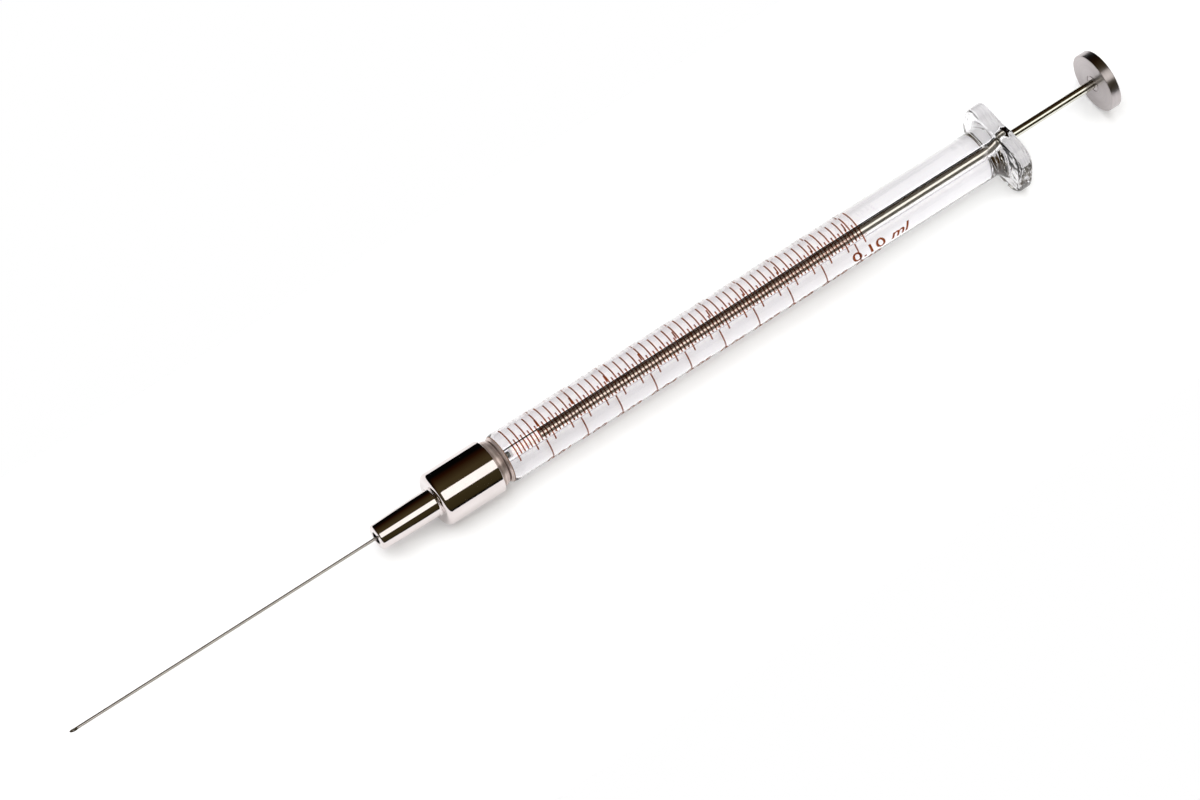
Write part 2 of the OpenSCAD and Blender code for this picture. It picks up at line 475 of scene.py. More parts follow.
@dataclass(frozen=True)
class Surface:
    """A procedural surface whose colour, roughness and relief follow noises.

    Attributes:
        name: The material's name.
        dark: Its shade where the noise is low.
        light: Its shade where the noise is high.
        shade: The noise that the colour follows.
        slot: Not used: a name for it that nothing in this script reads.
        wear: The noise that the roughness follows, if it does.
        rough: The lowest and highest roughness.
        reliefs: The noises that raise it, each with its depth in metres.
        settings: Constants of the shader's inputs.
    """

    name: str
    dark: Rgb
    light: Rgb
    shade: Grain
    slot: str = ""
    wear: Optional[Grain] = None
    rough: tuple[float, float] = (0.0, 0.0)
    reliefs: tuple[tuple[Grain, float], ...] = ()
    settings: dict[str, Any] = field(default_factory=dict)

    def colour_source(self, finish: Finish) -> Socket:
        """Gives the value that the colour follows."""
        return finish.noise(self.shade)

    def heights(self, finish: Finish) -> list[tuple[Socket, float]]:
        """Gives the height patterns with their depths."""
        return [(finish.noise(grain), depth) for grain, depth in self.reliefs]

    def complete(self, finish: Finish) -> None:
        """Adds what only one kind of surface has, which for most is nothing."""

    def make(self) -> bpy.types.Material:
        """Builds the material."""
        finish = Finish(self.name)
        finish.feed(finish.shader, self.settings)
        finish.tint(self.colour_source(finish), self.dark, self.light)
        if self.wear:
            spread = finish.between(finish.noise(self.wear), *self.rough)
            finish.feed(finish.shader, {"Roughness": spread})
        finish.relief(self.heights(finish))
        self.complete(finish)
        return finish.material


@dataclass(frozen=True)
class DrawnGlass(Surface):
    """Clear borosilicate tube, faintly wavy from drawing and uneven where it was pressed.

    Attributes:
        pull: The unevenness of the pressed flange.
        pull_depth: Its depth in metres.
        pressed_from: The station where the pressed part starts.
        pressed_blend: The length over which its unevenness sets in.
        passing: How much light one surface lets into the shadow, face on and at a graze.
    """

    pull: Grain = Grain((430, 300, 300), 2)
    pull_depth: float = 2.2e-4
    pressed_from: float = 82.0
    pressed_blend: float = 2.5
    passing: tuple[float, float] = (0.83, 0.32)

    def heights(self, finish: Finish) -> list[tuple[Socket, float]]:
        """Gives the waviness and the pressed part's unevenness."""
        pressed = finish.beyond(self.pressed_from, self.pressed_blend)
        pull = finish.sum("MULTIPLY", finish.noise(self.pull), pressed)
        return [*super().heights(finish), (pull, self.pull_depth)]

    def complete(self, finish: Finish) -> None:
        """Lightens the glass's shadow."""
        finish.pale_shadow(*self.passing)


@dataclass(frozen=True)
class TurnedSteel(Surface):
    """Stainless steel as it leaves the lathe: lines round the axis under a faint stain.

    Attributes:
        drag: How much further highlights reach across the lines than along them, up to 1.
        stain_share: How much of the colour follows the stain.
    """

    drag: float = 0.0
    stain_share: float = 0.35

    def colour_source(self, finish: Finish) -> Socket:
        """Mixes the lines and the stain."""
        lines, stain = finish.noise(self.shade), finish.noise(self.wear)
        inputs = {"Factor": self.stain_share, "A": lines, "B": stain}
        return finish.node("ShaderNodeMix", inputs, data_type="FLOAT").outputs["Result"]

    def complete(self, finish: Finish) -> None:
        """Drags the highlights across the lines."""
        if self.drag:
            inputs = {"Anisotropic": self.drag, "Tangent": finish.across_lay()}
            finish.feed(finish.shader, inputs)


@dataclass(frozen=True)
class FiredEnamel(Surface):
    """Enamel fired on to the glass, thin enough to let some light through.

    Attributes:
        stain: The colour that light takes in one surface of it.
        cover: The share of the light that it holds back for its own colour.
    """

    stain: Rgb = (0.57, 0.26, 0.115)
    cover: float = 0.13

    def complete(self, finish: Finish) -> None:
        """Lets light through the enamel."""
        finish.let_through(1 - self.cover, (*self.stain, 1))


def turned_steel(
    name: str,
    slot: str,
    shades: tuple[Rgb, Rgb],
    pitch: float,
    depth: float,
    rough: tuple[float, float],
    drag: float = 0.0,
    metal: float = 1.0,
) -> TurnedSteel:
    """Describes a turned steel.

    Args:
        name: The material's name.
        slot: The name passed on to the steel's slot field, which nothing reads.
        shades: The shades in the lines' valleys and on their crests.
        pitch: How many lines there are in a metre.
        depth: The lines' depth in metres.
        rough: The lowest and highest roughness.
        drag: How much further highlights reach across the lines than along them, up to 1.
        metal: The share of the surface that is bare metal, the rest being its dull film.

    Returns:
        The steel.
    """
    lines = Grain((pitch, pitch), 4, 0.62)
    return TurnedSteel(
        name=name,
        slot=slot,
        dark=shades[0],
        light=shades[1],
        shade=lines,
        wear=Grain((500, 500, 500), 4),
        rough=rough,
        reliefs=((lines, depth),),
        settings={"Metallic": metal},
        drag=drag,
    )


CLEAR_GLASS = DrawnGlass(
    name="drawn_glass",
    slot="clear_glass",
    dark=(0.985, 0.972, 1.0),
    light=(1.0, 0.985, 1.0),
    shade=Grain((60, 400, 400), 2),
    reliefs=((Grain((45, 500, 500), 1), 2.5e-6),),
    settings={"Roughness": 0.0, "IOR": 1.47, "Transmission Weight": 1.0},
)
BUFFING = Grain((9000, 9000), 4, 0.7)
POLISHED_NICKEL = Surface(
    name="polished_nickel",
    slot="polished_nickel",
    dark=(0.65, 0.595, 0.585),
    light=(0.71, 0.655, 0.645),
    shade=Grain((220, 260, 260), 4),
    wear=BUFFING,
    rough=(0.045, 0.085),
    reliefs=((BUFFING, 1.2e-7), (Grain((700, 700), 1), 9e-7)),
    settings={"Metallic": 1.0},
)
TERMINAL_STEEL = turned_steel(
    "turned_terminal_steel",
    "satin_steel",
    shades=((0.27, 0.20, 0.18), (0.83, 0.71, 0.66)),
    pitch=3600,
    depth=5e-6,
    rough=(0.28, 0.42),
    drag=0.7,
    metal=0.68,
)
# Painted shade: this steel's shades are near black, far darker than bare steel, so that the end of
# the ferrule's nose shows dark in the bore
FERRULE_STEEL_PAINTED_DARK = turned_steel(
    "ferrule_steel_painted_dark",
    "satin_steel",
    shades=((0.055, 0.052, 0.048), (0.10, 0.096, 0.09)),
    pitch=9000,
    depth=1.5e-6,
    rough=(0.25, 0.35),
)
BUTTON_STEEL = turned_steel(
    "faced_button_steel",
    "button_steel",
    shades=((0.41, 0.375, 0.375), (0.49, 0.45, 0.45)),
    pitch=7000,
    depth=2.2e-6,
    rough=(0.30, 0.42),
    drag=0.7,
)
ROD_STEEL = turned_steel(
    "ground_rod_steel",
    "plunger_steel",
    shades=((0.64, 0.63, 0.56), (0.74, 0.73, 0.66)),
    pitch=5200,
    depth=5e-7,
    rough=(0.12, 0.19),
)
DRAWING = Grain((250, 16000, 16000))
NEEDLE_STEEL = Surface(
    name="drawn_needle_steel",
    slot="needle_steel",
    dark=(0.56, 0.53, 0.51),
    light=(0.70, 0.67, 0.65),
    shade=DRAWING,
    wear=Grain((900, 900, 900)),
    rough=(0.16, 0.27),
    reliefs=((DRAWING, 1.2e-6),),
    settings={"Metallic": 1.0},
)
CUT = Grain((9000, 9000))
# Painted light: the emission in the settings below makes the white plastic of the seal and the tip
# glow by itself, though it is no lamp
GLOWING_WHITE_FLUOROPOLYMER = Surface(
    name="white_fluoropolymer_painted_glow",
    slot="white_plastic",
    dark=(0.86, 0.86, 0.845),
    light=(0.92, 0.92, 0.91),
    shade=Grain((1500, 1500, 1500)),
    wear=CUT,
    rough=(0.38, 0.5),
    reliefs=((CUT, 1.5e-6),),
    settings={
        "IOR": 1.36,
        "Subsurface Weight": 0.35,
        "Subsurface Scale": 0.0004,
        # Painted light: a glow painted on to the plastic
        "Emission Strength": 0.32,
        "Emission Color": (1.0, 1.0, 1.0, 1.0),
    },
)
CRUMB = Grain((2500, 2500, 2500), 4)
BROWN_CEMENT = Surface(
    name="brown_cement",
    slot="cement",
    dark=(0.10, 0.045, 0.025),
    light=(0.24, 0.12, 0.07),
    shade=CRUMB,
    wear=CRUMB,
    rough=(0.42, 0.7),
    reliefs=((CRUMB, 6e-6),),
)
FIRING = Grain((1800, 1800, 1800), 4)
BROWN_ENAMEL = FiredEnamel(
    name="fired_enamel",
    dark=(0.12, 0.034, 0.010),
    light=(0.18, 0.052, 0.017),
    shade=FIRING,
    wear=FIRING,
    rough=(0.32, 0.5),
    reliefs=((FIRING, 2e-6),),
)


# ---------------------------------------------------------------- pieces


def dress(
    obj: bpy.types.Object, surface: Surface, body: Body, replaces: str = ""
) -> bpy.types.Object:
    """Finishes a piece, puts it on its body and reports it.

    Args:
        obj: The piece.
        surface: Its surface.
        body: The body that it rides on.
        replaces: The CAD node that it stands for, if any.

    Returns:
        The piece.
    """
    obj.data.materials.clear()
    obj.data.materials.append(surface.make())
    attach(obj, body.value)
    if replaces:
        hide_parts(replaces)
    log.info("%s: %d faces on %s", obj.name, len(obj.data.polygons), body.value)
    return obj


def turn(
    name: str,
    replaces: str,
    corners: Sequence[Corner],
    surface: Surface,
    body: Body,
    closed: bool = True,
    facets: int = 160,
) -> None:
    """Turns a piece about the syringe's axis and finishes it.

    Args:
        name: The piece's name.
        replaces: The CAD node that it stands for.
        corners: The profile's corners.
        surface: Its surface.
        body: The body that it rides on.
        closed: True for a piece with a hole along the axis, False for a solid one, whose
            profile begins and ends on the axis.
        facets: The number of facets round the axis.
    """
    rings = [
        [AXIS.place(station)] if r < ON_THE_AXIS else AXIS.ring(station, r, facets)
        for station, r in eased(corners, closed)
    ]
    dress(as_object(swept_rings(rings, closed), name), surface, body, replaces)


@dataclass(frozen=True)
class Bead:
    """The rounded bead that terminal, cement and glass form together.

    Attributes:
        groove: The station of the groove's bottom, where the bead begins.
        crest: The station where the bead reaches the tube's diameter.
        low: The radius at the groove.
        high: The tube's radius.
        steps: The number of points along a stretch of it.
        crowding: How much closer together the points are where the bead is steep.
    """

    groove: float = -2.0
    crest: float = -0.63
    low: float = 3.0
    high: float = 3.8
    steps: int = 14
    crowding: float = 1.35

    def radius(self, station: float) -> float:
        """Gives the bead's radius at a station."""
        share = (station - self.crest) / (self.crest - self.groove)
        return self.low + (self.high - self.low) * math.sqrt(max(0.0, 1 - share * share))

    def stretch(self, start: float, end: float) -> list[Corner]:
        """Gives the corners of the bead's profile between two stations."""
        shares = [(i / self.steps) ** self.crowding for i in range(self.steps + 1)]
        stations = [start + (end - start) * share for share in shares]
        return [Corner(s, self.radius(s)) for s in stations]


BEAD = Bead()


@dataclass(frozen=True)
class FlangeShape:
    """The pressed finger flange: a squared ellipse with a drawn-in waist and eased upper corners.

    Attributes:
        lobe_reach: Half the distance across its two lobes.
        lobe_height: Half its height before the waist is drawn in.
        squareness: 2 for an ellipse, more for fuller lobes.
        waist_depth: The share of the height that the waist takes away.
        waist_angle: Half the angle that the waist spans.
        corners: The angle, the spread and the ease of each upper corner.
        thickness: The flange's thickness.
        edge: The radius of its back edge.
        flow: The length over which the tube swells into it.
        flow_lead: The length of plain tube before that.
        flow_share: The share of the swell that is a hollow curve.
        edge_share: The share where the rounded front edge begins.
        swell_end: The way between those two.
        front_edge: The length of the rounded front edge.
    """

    lobe_reach: float = 6.95
    lobe_height: float = 5.1
    squareness: float = 4.8
    waist_depth: float = 0.12
    waist_angle: float = 31.0
    corners: tuple[tuple[float, float, float], ...] = ((51.0, 37.0, 0.22), (141.0, 27.0, 0.08))
    thickness: float = 2.4
    edge: float = 0.3
    flow: float = 1.65
    flow_lead: float = 0.25
    flow_share: float = 0.45
    edge_share: float = 0.8
    swell_end: float = 0.1
    front_edge: float = 0.75

    def outline(self, angle: float) -> float:
        """Gives the outline's radius at an angle about the axis, in radians from +Y."""
        c, s = abs(math.cos(angle)), abs(math.sin(angle))
        from_waist = math.degrees(math.asin(min(1.0, c)))
        waist = 1 - self.waist_depth * math.exp(-((from_waist / self.waist_angle) ** 2))
        power = self.squareness
        full = ((c / self.lobe_reach) ** power + (s / self.lobe_height) ** power) ** (-1 / power)
        turn_from_y = math.degrees(angle) % 360
        turn_from_y -= 360 if turn_from_y > 270 else 0
        for at, spread, ease in self.corners:
            full *= 1 - ease * math.exp(-(((turn_from_y - at) / spread) ** 2))
        return waist * full


@dataclass
class Barrel:
    """The glass barrel: spigot, bead, tube, bore and finger flange.

    Attributes:
        flange: The flange's shape.
        spigot_r: The ground spigot's radius.
        chamfer: The spigot's front chamfer.
        shoulder: The station where the spigot meets the bead.
        bore_r: The bore's radius.
        mouth_r: The radius of the fire-polished mouth.
        mouth_face: The width of the flat face round the mouth that is drawn as one ring.
        leads: The short plain lengths that keep the shading flat before the shoulder, behind the
            bead, behind the bore's front and in front of the mouth.
        facets: The number of facets round the axis.
        arc_steps: The number of rings in each rounded part.
    """

    flange: FlangeShape = FlangeShape()
    spigot_r: float = 2.3
    chamfer: float = 0.12
    shoulder: float = -1.45
    bore_r: float = 0.7285
    mouth_r: float = 0.9
    mouth_face: float = 0.25
    leads: tuple[float, float, float, float] = (0.03, 0.12, 0.05, 0.2)
    facets: int = 240
    arc_steps: int = 18

    def quarter(self) -> list[float]:
        """Gives the angles of a rounded part's rings, from 0 to a right angle, in radians."""
        return [math.pi / 2 * i / self.arc_steps for i in range(self.arc_steps + 1)]

    def ring(
        self, station: float, tube_r: float, share: float = 0, inset: float = 0
    ) -> list[Vector]:
        """Makes one ring of the glass's outside.

        Args:
            station: Where the ring stands.
            tube_r: The round tube's radius.
            share: 0 for a round ring to 1 for the flange's outline.
            inset: How far the ring is drawn in.

        Returns:
            The ring's points.
        """
        points = []
        for i in range(self.facets):
            angle = 2 * math.pi * i / self.facets
            r = tube_r + (self.flange.outline(angle) - tube_r) * share - inset
            points.append(AXIS.place(station, r, angle))
        return points

    def outside(self, front: float, back: float) -> list[list[Vector]]:
        """Makes the rings of the outside, from the spigot's front to the flange's back.

        Args:
            front: The station of the spigot's front.
            back: The station of the flange's back.

        Returns:
            The rings in order.
        """
        shape, tube_r = self.flange, BEAD.high
        flange_front = back - shape.thickness
        edge_front = flange_front + shape.swell_end
        rest = 1 - shape.edge_share
        rows = [
            (front, self.spigot_r - self.chamfer),
            (front + self.chamfer, self.spigot_r),
            (self.shoulder - self.leads[0], self.spigot_r),
            (self.shoulder, self.spigot_r),
            *((c.at, c.r) for c in BEAD.stretch(self.shoulder, BEAD.crest)),
            (BEAD.crest + self.leads[1], tube_r),
            (flange_front - shape.flow - shape.flow_lead, tube_r),
        ]
        for a in self.quarter():
            share = shape.flow_share * (1 - math.cos(a))
            rows.append((flange_front - shape.flow * (1 - math.sin(a)), tube_r, share))
        for a in self.quarter():
            share = shape.edge_share + rest * math.sin(a)
            rows.append((edge_front + shape.front_edge * (1 - math.cos(a)), tube_r, share))
        for a in self.quarter():
            inset = shape.edge * (1 - math.cos(a))
            rows.append((back - shape.edge * (1 - math.sin(a)), tube_r, 1, inset))
        return [self.ring(*row) for row in rows]

    def inside(self, front: float, back: float) -> list[list[Vector]]:
        """Makes the rings of the flared mouth and the bore, from the back to the front.

        Args:
            front: The station of the spigot's front.
            back: The station of the flange's back.

        Returns:
            The rings in order.
        """
        flare, wide = self.mouth_r, self.bore_r + self.mouth_r
        turns = self.quarter()
        rows = [
            (back, wide + self.mouth_face),
            *((back - flare * (1 - math.cos(a)), wide - flare * math.sin(a)) for a in turns),
            (back - flare - self.leads[3], self.bore_r),
            (front + self.leads[2], self.bore_r),
            (front, self.bore_r),
        ]
        return [AXIS.ring(station, r, self.facets) for station, r in rows]

    def build(self) -> None:
        """Blows the barrel and puts it in place of the CAD's."""
        ends = AXIS.span("barrel")
        rings = self.outside(*ends) + self.inside(*ends)
        glass = as_object(swept_rings(rings, closed=True), "barrel_glass", crease=40)
        dress(glass, CLEAR_GLASS, Body.BARREL, "barrel")


# ---------------------------------------------------------------- what repeats


def evaluated(obj: bpy.types.Object) -> bpy.types.Mesh:
    """Keeps an object's evaluated shape as a plain mesh."""
    view = bpy.context.evaluated_depsgraph_get()
    return bpy.data.meshes.new_from_object(obj.evaluated_get(view))


def grown(tree: bpy.types.NodeTree, inputs: dict[str, Any]) -> bpy.types.Mesh:
    """Runs a geometry node tree once and keeps its result as a plain mesh.

    Args:
        tree: The tree, whose inputs are named.
        inputs: The value of each named input.

    Returns:
        The mesh.
    """
    seed = linked("seed", bpy.data.meshes.new("seed"))
    modifier = seed.modifiers.new("growth", "NODES")
    modifier.node_group = tree
    for item in tree.interface.items_tree:
        if item.item_type == "SOCKET" and item.in_out == "INPUT" and item.name in inputs:
            modifier[item.identifier] = inputs[item.name]
    mesh = evaluated(seed)
    bpy.data.objects.remove(seed)
    return mesh


# Turns a curve drawn about Z into one about the syringe's axis: X to Y, Y to Z and Z to X
ON_AXIS = (math.pi / 2, 0.0, math.pi / 2)


class GrowthTree(Wiring):
    """A geometry node tree while it is wired up."""

    def __init__(self, name: str, inputs: dict[str, str]) -> None:
        """Starts a tree.

        Args:
            name: The tree's name.
            inputs: For each input's name its socket type's ending, such as Float.
        """
        super().__init__(bpy.data.node_groups.new(name, "GeometryNodeTree"))
        face = self.tree.interface
        face.new_socket("Geometry", in_out="OUTPUT", socket_type="NodeSocketGeometry")
        for label, kind in {**inputs, "Material": "Material"}.items():
            face.new_socket(label, in_out="INPUT", socket_type=f"NodeSocket{kind}")
        self.given = self.node("NodeGroupInput").outputs
        self.sink = self.node("NodeGroupOutput")

    def passed(self, kind: str, labels: dict[str, str], **settings: Any) -> Socket:
        """Adds a node whose inputs are inputs of the tree.

        Args:
            kind: The node's type.
            labels: For each of its inputs the name of the tree's.
            **settings: Properties to set on it.

        Returns:
            Its first output.
        """
        inputs = {key: self.given[label] for key, label in labels.items()}
        return self.node(kind, inputs, **settings).outputs[0]

    def swept(self, curve: Socket, section: Socket, **place: Socket) -> Socket:
        """Sweeps a section along a curve drawn about Z and lays the result about the axis.

        Args:
            curve: The curve.
            section: The section.
            **place: The Translation of the result, if any.

        Returns:
            The geometry.
        """
        upright = self.node("GeometryNodeSetCurveNormal", {"Curve": curve}, mode="Z_UP").outputs[0]
        inputs = {"Curve": upright, "Profile Curve": section, "Fill Caps": True}
        sweep = self.node("GeometryNodeCurveToMesh", inputs).outputs[0]
        inputs = {"Geometry": sweep, "Rotation": ON_AXIS, **place}
        return self.node("GeometryNodeTransform", inputs).outputs[0]

    def finish(self, made: Socket) -> bpy.types.NodeTree:
        """Ends the tree in realized, painted geometry and returns it."""
        real = self.node("GeometryNodeRealizeInstances", {0: made}).outputs[0]
        inputs = {"Geometry": real, "Material": self.given["Material"]}
        paint = self.node("GeometryNodeSetMaterial", inputs).outputs[0]
        self.feed(self.sink, {0: paint})
        return self.tree


ARC_POINTS = 22
POINTS_IN_A_TURN = 72


def mark_tree() -> bpy.types.NodeTree:
    """Wires the tree that repeats an arc-shaped mark along the axis."""
    floats = ("Radius", "Start Angle", "Sweep Angle", "Line Width", "Line Height")
    inputs = {"Count": "Int", "First": "Vector", "Step": "Vector", **dict.fromkeys(floats, "Float")}
    growth = GrowthTree("scale_marks", inputs)
    labels = {"Count": "Count", "Start Location": "First", "Offset": "Step"}
    row = growth.passed("GeometryNodeMeshLine", labels, mode="OFFSET")
    arc = growth.node(
        "GeometryNodeCurveArc",
        {"Resolution": ARC_POINTS, **{label: growth.given[label] for label in floats[:3]}},
        mode="RADIUS",
    )
    labels = {"Width": "Line Height", "Height": "Line Width"}
    line = growth.passed("GeometryNodeCurvePrimitiveQuadrilateral", labels, mode="RECTANGLE")
    mark = growth.swept(arc.outputs["Curve"], line)
    repeat = growth.node("GeometryNodeInstanceOnPoints", {"Points": row, "Instance": mark})
    return growth.finish(repeat.outputs[0])


def thread_tree() -> bpy.types.NodeTree:
    """Wires the tree that winds a screw thread."""
    floats = ("Turns", "Pitch Radius", "Length", "Root Width", "Crest Width", "Depth")
    growth = GrowthTree("screw_thread", {**dict.fromkeys(floats, "Float"), "Place": "Vector"})
    given = growth.given
    inputs = {
        "Resolution": POINTS_IN_A_TURN,
        "Rotations": given["Turns"],
        "Start Radius": given["Pitch Radius"],
        "End Radius": given["Pitch Radius"],
        "Height": given["Length"],
    }
    helix = growth.node("GeometryNodeCurveSpiral", inputs).outputs[0]
    inputs = {
        "Bottom Width": given["Root Width"],
        "Top Width": given["Crest Width"],
        "Height": given["Depth"],
        "Offset": 0.0,
    }
    kind = "GeometryNodeCurvePrimitiveQuadrilateral"
    tooth = growth.node(kind, inputs, mode="TRAPEZOID").outputs[0]
    inputs = {"Geometry": tooth, "Rotation": (0.0, 0.0, math.pi / 2)}
    standing = growth.node("GeometryNodeTransform", inputs).outputs[0]
    return growth.finish(growth.swept(helix, standing, Translation=given["Place"]))


def merged(meshes: Iterable[bpy.types.Mesh]) -> bmesh.types.BMesh:
    """Puts several meshes into one, with their faces pointing outwards."""
    bm = bmesh.new()
    for mesh in meshes:
        bm.from_mesh(mesh)
    bmesh.ops.recalc_face_normals(bm, faces=bm.faces)
    return bm


# ---------------------------------------------------------------- the scale


@dataclass(frozen=True)
class MarkRow:
    """A row of equal marks of the scale.

    Attributes:
        first: The number of its first division.
        last: The number of its last division.
        start: The angle from the scale's middle where a mark starts.
        end: The angle where it ends.
    """

    first: int
    last: int
    start: float
    end: float


@dataclass(frozen=True)
class Words:
    """Words on the tube, which read from the needle to the plunger.

    Attributes:
        text: The words.
        station: The station of their middle.
        angle: The angle of their middle from the scale's middle.
        height: The height of a figure.
        slant: How far the letters lean.
        weight: How much bolder than usual the strokes are, as a share of the height.
    """

    text: str
    station: float
    angle: float
    height: float
    slant: float
    weight: float


@dataclass
class Scale:
    """The fired scale, its numerals and its label.

    Attributes:
        division: The distance from one mark to the next.
        every: The divisions between one mark of a row and the next.
        line: The width of a mark.
        enamel: How far the enamel stands over the glass.
        sunk: How far it reaches into the glass.
        breadth: How much broader than the usual ones the figures are.
        figure_share: The height of a figure as a share of the font's size.
        cuts: The cuts across the words that let them bend round the tube.
        cut_reach: How far the cuts go, as a share of a figure's height.
        weld: The distance at which points of the words are one, and the cuts' own tolerance.
        rows: The rows of marks.
        label: The words of the label.
        curve_steps: The steps in each curve of a letter.
        figures: What the numerals share: their angle, height, slant and weight.
    """

    division: float = 0.6
    every: int = 10
    line: float = 0.21
    enamel: float = 0.012
    sunk: float = 0.006
    breadth: float = 1.32
    figure_share: float = 0.72
    cuts: int = 14
    cut_reach: float = 1.5
    weld: tuple[float, float] = (1e-4, 1e-6)
    rows: tuple[MarkRow, ...] = (
        *(MarkRow(n, 90 + n, -22, 14) for n in (1, 3, 7, 9)),
        *(MarkRow(n, 90 + n, -57, 14) for n in (2, 4, 6, 8)),
        MarkRow(5, 95, -22, 27),
        MarkRow(0, 100, -68, 27),
        MarkRow(0, 100, 165, 190),
    )
    label: tuple[Words, ...] = (
        Words("0.10", 60.3, 52, 1.85, -0.15, 0.014),
        Words("ml", 65.5, 52, 1.7, 0.22, 0.02),
    )
    figures: tuple[float, float, float, float] = (81, 1.4, 0.1, 0.01)
    curve_steps: int = 4

    def marks(self, enamel: bpy.types.Material) -> list[bpy.types.Mesh]:
        """Grows one mesh for each row of marks."""
        tree = mark_tree()
        height = self.enamel + self.sunk
        middle_r = BEAD.high + self.enamel - height / 2
        return [
            grown(
                tree,
                {
                    "Count": (row.last - row.first) // self.every + 1,
                    "First": AXIS.place(row.first * self.division),
                    "Step": (self.every * self.division * MM, 0.0, 0.0),
                    "Radius": middle_r * MM,
                    "Start Angle": math.radians(SCALE_FACES + row.start),
                    "Sweep Angle": math.radians(row.end - row.start),
                    "Line Width": self.line * MM,
                    "Line Height": height * MM,
                    "Material": enamel,
                },
            )
            for row in self.rows
        ]

    def lettered(self, words: Words) -> bpy.types.Mesh:
        """Makes the mesh of words that are wrapped round the tube."""
        curve = bpy.data.curves.new("words", "FONT")
        curve.body = words.text
        curve.size = words.height / self.figure_share
        curve.shear = words.slant
        curve.align_x = curve.align_y = "CENTER"
        curve.offset = words.weight * words.height
        curve.resolution_u = self.curve_steps
        curve.extrude = 1.0  # Any thickness will do: each side is moved to its own radius below
        flat = linked("words", curve)
        mesh = evaluated(flat)
        bpy.data.objects.remove(flat)
        bm = bmesh.new()
        bm.from_mesh(mesh)
        bmesh.ops.remove_doubles(bm, verts=bm.verts, dist=self.weld[0])
        for i in range(self.cuts + 1):
            level = words.height * (i / self.cuts - 0.5) * self.cut_reach
            geometry = bm.verts[:] + bm.edges[:] + bm.faces[:]
            bmesh.ops.bisect_plane(
                bm, geom=geometry, plane_co=(0, level, 0), plane_no=(0, 1, 0), dist=self.weld[1]
            )
        middle = math.radians(SCALE_FACES + words.angle)
        for vert in bm.verts:
            along, up, out = vert.co
            r = BEAD.high + (self.enamel if out > 0 else -self.sunk)
            station = words.station + along * self.breadth
            vert.co = AXIS.place(station, r, middle - up / BEAD.high)
        bm.to_mesh(mesh)
        bm.free()
        return mesh

    def build(self) -> None:
        """Fires the scale on to the barrel, as one piece of enamel."""
        meshes = self.marks(BROWN_ENAMEL.make())
        meshes += [self.lettered(words) for words in self.label]
        for ten in range(1, 11):
            station = ten * self.every * self.division
            meshes.append(self.lettered(Words(f"{ten / 100:.2f}", station, *self.figures)))
        dress(as_object(merged(meshes), "scale_enamel"), BROWN_ENAMEL, Body.BARREL)


# ---------------------------------------------------------------- terminal, nut and needle


